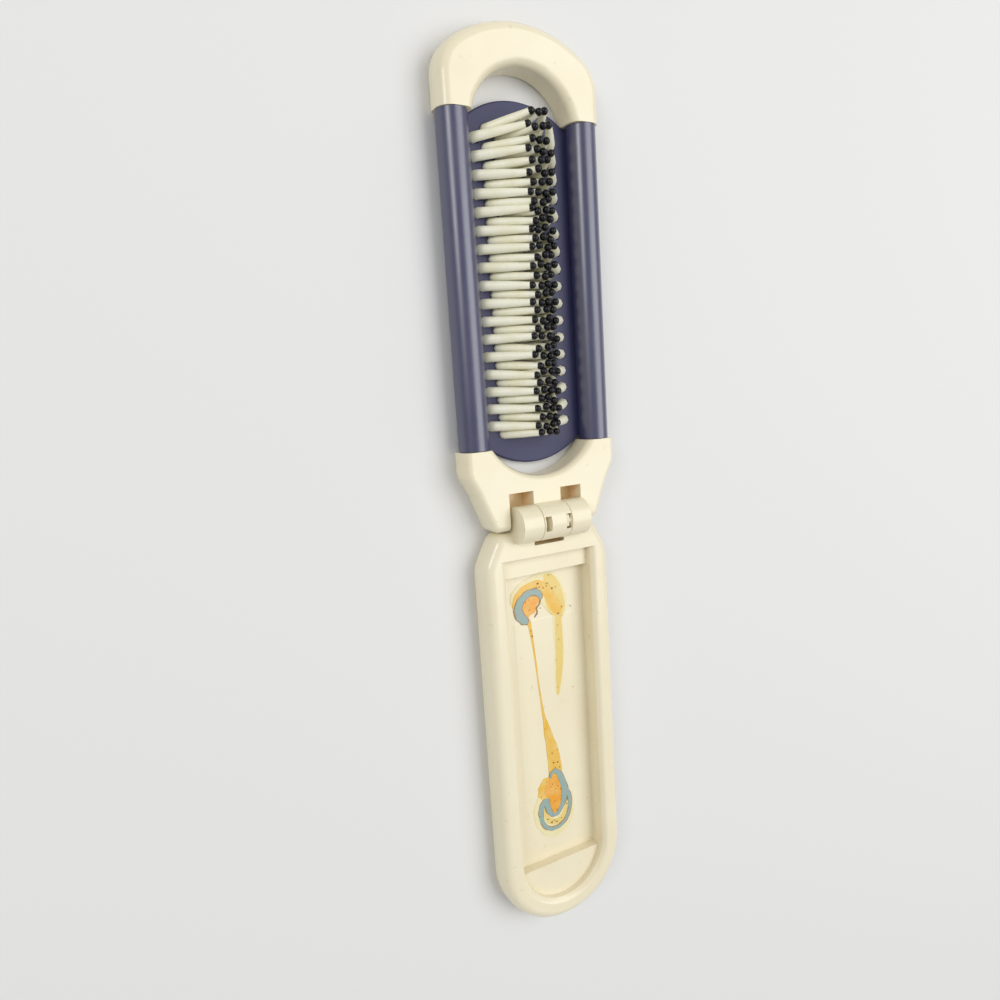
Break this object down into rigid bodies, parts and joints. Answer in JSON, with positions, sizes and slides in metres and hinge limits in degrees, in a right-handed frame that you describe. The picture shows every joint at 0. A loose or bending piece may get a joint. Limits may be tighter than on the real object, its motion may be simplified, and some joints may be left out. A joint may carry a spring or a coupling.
{
  "type": "folding travel brush",
  "caption": "Pocket hairbrush that folds in half on a hinge: a framed head with pins and black ball tips, and a tray handle with a mirror recess.",
  "frame": {"origin": "centre of the brush's bounding box, open, on the surface that it lies on", "axes": "+X across the brush to its right, +Y from the handle to the arch, +Z out of the side of the pins"},
  "size_m": [0.0406, 0.2138, 0.0117],
  "materials": {
    "cream_plastic": "glossy moulded, slightly yellowed",
    "navy_plastic": "satin moulded",
    "ivory_nylon": "satin, slightly translucent",
    "black_gloss": "glossy dipped",
    "pin_plastic": "satin moulded"
  },
  "bodies": {
    "head": {"top_arch": "cream_plastic", "left_rail": "navy_plastic", "right_rail": "navy_plastic", "base_plate": "navy_plastic", "back_cover": "navy_plastic", "yoke": "cream_plastic", "bristle_row_1": "ivory_nylon", "bristle_row_2": "ivory_nylon", "bristle_row_3": "ivory_nylon", "bristle_row_4": "ivory_nylon", "bristle_row_5": "ivory_nylon", "bristle_row_6": "ivory_nylon", "bristle_row_7": "ivory_nylon", "tip_row_1": "black_gloss", "tip_row_2": "black_gloss", "tip_row_3": "black_gloss", "tip_row_4": "black_gloss", "tip_row_5": "black_gloss", "tip_row_6": "black_gloss", "tip_row_7": "black_gloss"},
    "handle": {"handle": "cream_plastic", "hinge_pin": "pin_plastic"}
  },
  "joints": [
    {"name": "handle_fold", "type": "hinge", "parent": "head", "child": "handle", "pos_m": [0, -0.0023, 0.0073], "axis": [-1, 0, 0], "range_deg": [0, 180]}
  ]
}
